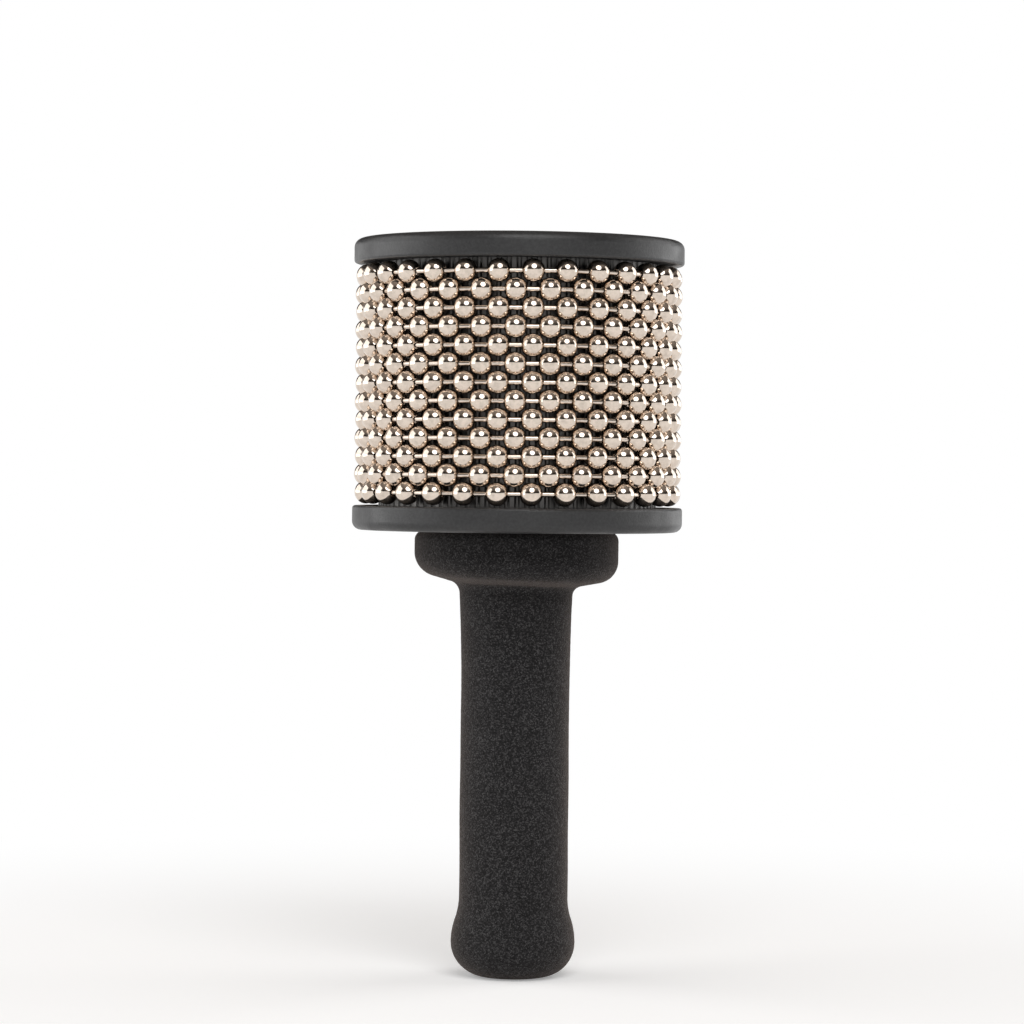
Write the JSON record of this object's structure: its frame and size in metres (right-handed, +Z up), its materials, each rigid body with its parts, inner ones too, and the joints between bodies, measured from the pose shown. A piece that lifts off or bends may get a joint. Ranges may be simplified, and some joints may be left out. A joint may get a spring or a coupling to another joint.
{
  "type": "cabasa",
  "caption": "Small hand cabasa: nested loops of steel ball chain turn round a ribbed drum between end caps, on a foam handle with a flared foot and guard flange.",
  "frame": {"origin": "middle of the handle's flat foot, where the instrument stands on a table", "axes": "+Z up the handle's axis towards the head, which is also the axis that the bead loops turn about"},
  "size_m": [0.0678, 0.0678, 0.1511],
  "materials": {
    "foam": "matte",
    "core_plastic": "matte",
    "brass_insert": "satin",
    "steel_fittings": "satin",
    "cap_plastic": "satin",
    "core_wood": "matte",
    "drum_sheet": "satin",
    "bead_nickel": "polished",
    "link_steel": "gloss"
  },
  "bodies": {
    "handle": {"foam_grip": "foam", "handle_core": "core_plastic", "threaded_insert": "brass_insert", "drive_pins": "steel_fittings", "lower_cap": "cap_plastic", "drum_core": "core_wood", "textured_cylinder": "drum_sheet", "upper_cap": "cap_plastic", "bolt_washer": "steel_fittings", "through_bolt": "steel_fittings"},
    "loop_01": {"bead_loop_01": "bead_nickel", "link_loop_01": "link_steel"},
    "loop_02": {"bead_loop_02": "bead_nickel", "link_loop_02": "link_steel"},
    "loop_03": {"bead_loop_03": "bead_nickel", "link_loop_03": "link_steel"},
    "loop_04": {"bead_loop_04": "bead_nickel", "link_loop_04": "link_steel"},
    "loop_05": {"bead_loop_05": "bead_nickel", "link_loop_05": "link_steel"},
    "loop_06": {"bead_loop_06": "bead_nickel", "link_loop_06": "link_steel"},
    "loop_07": {"bead_loop_07": "bead_nickel", "link_loop_07": "link_steel"},
    "loop_08": {"bead_loop_08": "bead_nickel", "link_loop_08": "link_steel"},
    "loop_09": {"bead_loop_09": "bead_nickel", "link_loop_09": "link_steel"},
    "loop_10": {"bead_loop_10": "bead_nickel", "link_loop_10": "link_steel"},
    "loop_11": {"bead_loop_11": "bead_nickel", "link_loop_11": "link_steel"},
    "loop_12": {"bead_loop_12": "bead_nickel", "link_loop_12": "link_steel"},
    "loop_13": {"bead_loop_13": "bead_nickel", "link_loop_13": "link_steel"}
  },
  "joints": [
    {"name": "loop_01_turn", "type": "hinge", "parent": "handle", "child": "loop_01", "pos_m": [0, 0, 0.12], "axis": [0, 0, 1], "continuous": true},
    {"name": "loop_02_turn", "type": "hinge", "parent": "handle", "child": "loop_02", "pos_m": [0, 0, 0.12], "axis": [0, 0, 1], "continuous": true},
    {"name": "loop_03_turn", "type": "hinge", "parent": "handle", "child": "loop_03", "pos_m": [0, 0, 0.12], "axis": [0, 0, 1], "continuous": true},
    {"name": "loop_04_turn", "type": "hinge", "parent": "handle", "child": "loop_04", "pos_m": [0, 0, 0.12], "axis": [0, 0, 1], "continuous": true},
    {"name": "loop_05_turn", "type": "hinge", "parent": "handle", "child": "loop_05", "pos_m": [0, 0, 0.12], "axis": [0, 0, 1], "continuous": true},
    {"name": "loop_06_turn", "type": "hinge", "parent": "handle", "child": "loop_06", "pos_m": [0, 0, 0.12], "axis": [0, 0, 1], "continuous": true},
    {"name": "loop_07_turn", "type": "hinge", "parent": "handle", "child": "loop_07", "pos_m": [0, 0, 0.12], "axis": [0, 0, 1], "continuous": true},
    {"name": "loop_08_turn", "type": "hinge", "parent": "handle", "child": "loop_08", "pos_m": [0, 0, 0.12], "axis": [0, 0, 1], "continuous": true},
    {"name": "loop_09_turn", "type": "hinge", "parent": "handle", "child": "loop_09", "pos_m": [0, 0, 0.12], "axis": [0, 0, 1], "continuous": true},
    {"name": "loop_10_turn", "type": "hinge", "parent": "handle", "child": "loop_10", "pos_m": [0, 0, 0.12], "axis": [0, 0, 1], "continuous": true},
    {"name": "loop_11_turn", "type": "hinge", "parent": "handle", "child": "loop_11", "pos_m": [0, 0, 0.12], "axis": [0, 0, 1], "continuous": true},
    {"name": "loop_12_turn", "type": "hinge", "parent": "handle", "child": "loop_12", "pos_m": [0, 0, 0.12], "axis": [0, 0, 1], "continuous": true},
    {"name": "loop_13_turn", "type": "hinge", "parent": "handle", "child": "loop_13", "pos_m": [0, 0, 0.12], "axis": [0, 0, 1], "continuous": true}
  ],
  "couplings": [
    {"joint": "loop_02_turn", "follows": "loop_01_turn", "ratio": 1},
    {"joint": "loop_03_turn", "follows": "loop_01_turn", "ratio": 1},
    {"joint": "loop_04_turn", "follows": "loop_01_turn", "ratio": 1},
    {"joint": "loop_05_turn", "follows": "loop_01_turn", "ratio": 1},
    {"joint": "loop_06_turn", "follows": "loop_01_turn", "ratio": 1},
    {"joint": "loop_07_turn", "follows": "loop_01_turn", "ratio": 1},
    {"joint": "loop_08_turn", "follows": "loop_01_turn", "ratio": 1},
    {"joint": "loop_09_turn", "follows": "loop_01_turn", "ratio": 1},
    {"joint": "loop_10_turn", "follows": "loop_01_turn", "ratio": 1},
    {"joint": "loop_11_turn", "follows": "loop_01_turn", "ratio": 1},
    {"joint": "loop_12_turn", "follows": "loop_01_turn", "ratio": 1},
    {"joint": "loop_13_turn", "follows": "loop_01_turn", "ratio": 1}
  ]
}
